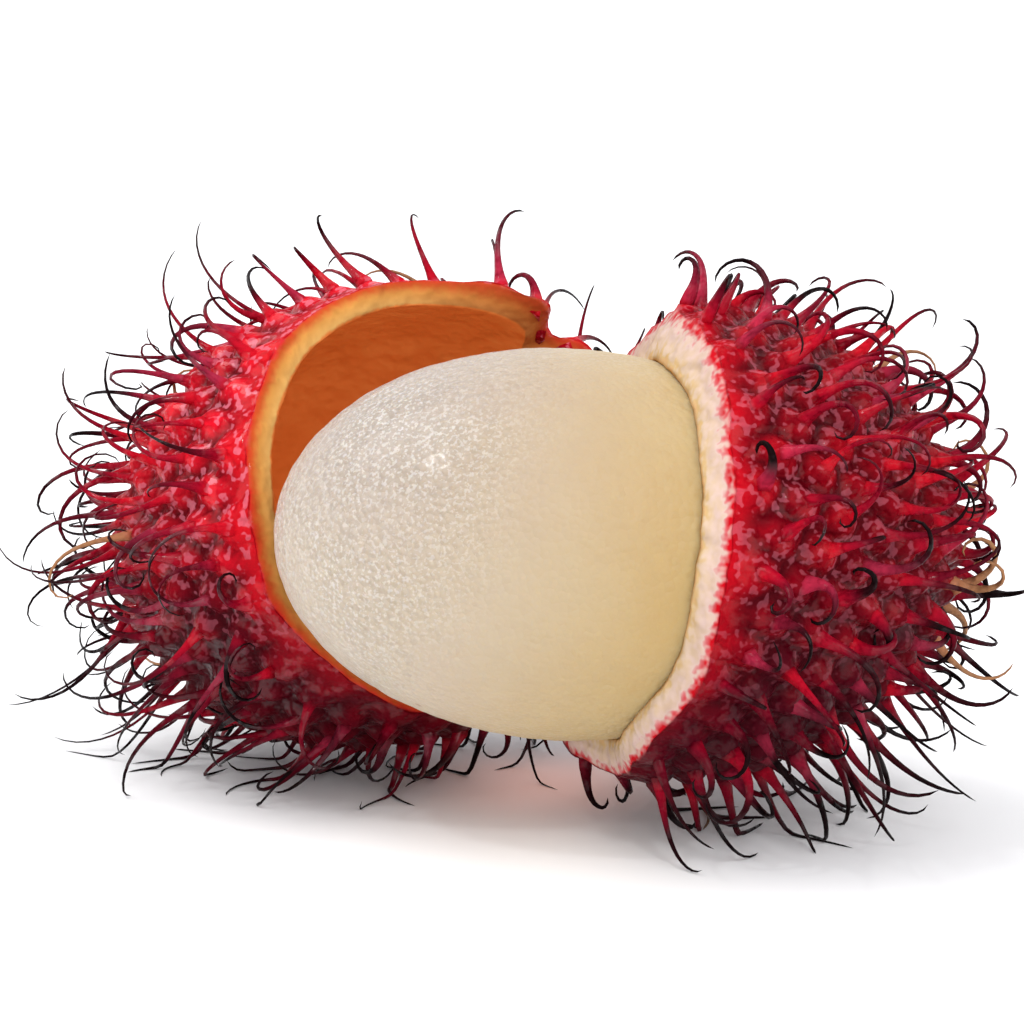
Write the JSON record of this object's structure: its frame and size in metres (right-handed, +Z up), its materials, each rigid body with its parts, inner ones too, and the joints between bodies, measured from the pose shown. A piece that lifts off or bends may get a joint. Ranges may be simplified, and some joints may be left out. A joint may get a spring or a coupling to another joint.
{
  "type": "binjai rambutan",
  "caption": "Opened binjai rambutan: spiny red rind cups pulled apart on a flat surface, with the pale egg-shaped flesh lying between them.",
  "frame": {"origin": "on the flat surface the fruit lies on, under the middle of its overall footprint", "axes": "+Z up from that surface; +X from the left rind cup towards the right one along the longest extent; -Y towards the viewer of the flesh's free end and the cups' mouths"},
  "size_m": [0.0956, 0.0716, 0.0524],
  "materials": {
    "rind": "satin",
    "flesh": "gloss"
  },
  "bodies": {
    "root": {"left_rind": "rind", "right_rind": "rind", "flesh": "flesh"}
  },
  "joints": []
}
